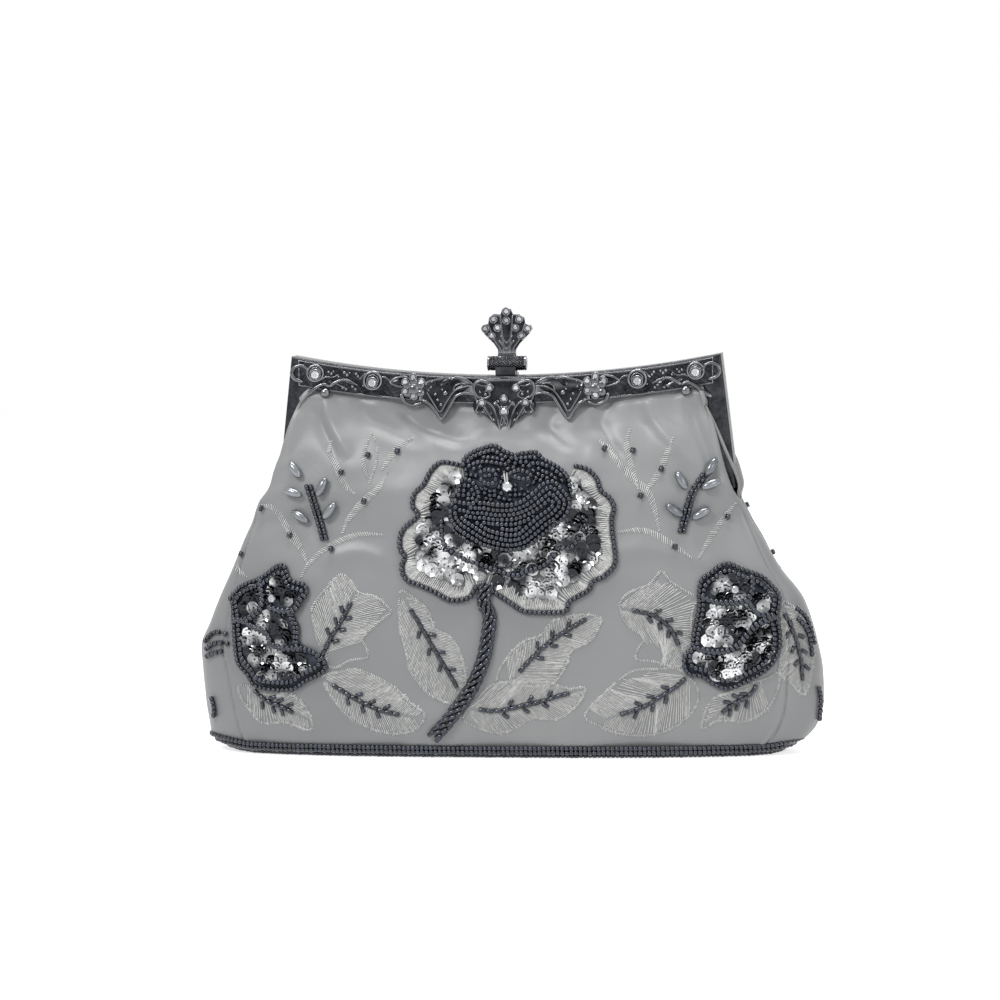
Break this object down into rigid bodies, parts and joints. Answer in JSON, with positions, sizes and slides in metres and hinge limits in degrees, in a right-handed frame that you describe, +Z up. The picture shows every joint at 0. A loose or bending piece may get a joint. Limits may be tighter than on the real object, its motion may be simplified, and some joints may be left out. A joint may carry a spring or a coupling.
{
  "type": "evening clutch",
  "caption": "Framed evening clutch with a beaded satin body, side hinges that let the rear half swing open, and a fan-shaped tip-back clasp.",
  "frame": {"origin": "centre of the base on the surface it stands on", "axes": "+X along the frame's rail to the viewer's right, -Y is the beaded front, +Z up"},
  "size_m": [0.262, 0.0654, 0.188],
  "materials": {
    "frame_metal": "polished gunmetal plating",
    "cast_metal": "cast relief in antiqued gunmetal plating",
    "spring_metal": "spring steel strip",
    "crystal": "clear cut glass with foil behind",
    "satin": "silver grey satin, soft sheen",
    "lining": "grey satin lining",
    "board": "stiff grey board",
    "paper_cord": "twisted paper cord",
    "navy_beads": "opaque lustred navy glass seed beads",
    "sequins": "smoky metallic cup sequins",
    "thread": "pale silver rayon embroidery thread",
    "pearl": "silver metallic rice beads"
  },
  "bodies": {
    "bag": {"front_frame": "frame_metal", "front_rail_ornament": "cast_metal", "rail_stones": "crystal", "left_hinge_rivet": "frame_metal", "right_hinge_rivet": "frame_metal", "front_hem_cord": "paper_cord", "catch_post": "frame_metal", "front_panel": "satin", "rear_panel": "satin", "left_gusset": "satin", "right_gusset": "satin", "side_folds": "satin", "bottom_panel": "satin", "base_board": "board", "base_trim": "navy_beads", "lining_bag": "lining", "front_lining": "lining", "front_rose": "navy_beads", "rear_rose": "navy_beads", "front_side_roses": "sequins", "rear_side_roses": "sequins", "front_stem": "navy_beads", "rear_stem": "navy_beads", "front_leaves": "thread", "rear_leaves": "thread", "front_pearls": "pearl"},
    "rear_half": {"rear_frame": "frame_metal", "rear_rail_ornament": "cast_metal", "rear_hem_cord": "paper_cord", "rear_flap": "satin", "rear_lining": "lining", "clasp_bracket": "frame_metal", "clasp_pin": "frame_metal", "rear_pearls": "pearl"},
    "clasp_lever": {"clasp_drum": "cast_metal", "latch_tongue": "spring_metal", "fan_knob": "cast_metal", "fan_stones": "crystal"}
  },
  "joints": [
    {"name": "frame_hinge", "type": "hinge", "parent": "bag", "child": "rear_half", "pos_m": [0, 0, 0.107], "axis": [-1, 0, 0], "range_deg": [0, 60], "deforming": ["side_folds", "rear_rose"]},
    {"name": "clasp_tip", "type": "hinge", "parent": "rear_half", "child": "clasp_lever", "pos_m": [0, 0.0015, 0.1642], "axis": [-1, 0, 0], "range_deg": [0, 50], "deforming": ["latch_tongue"]}
  ]
}
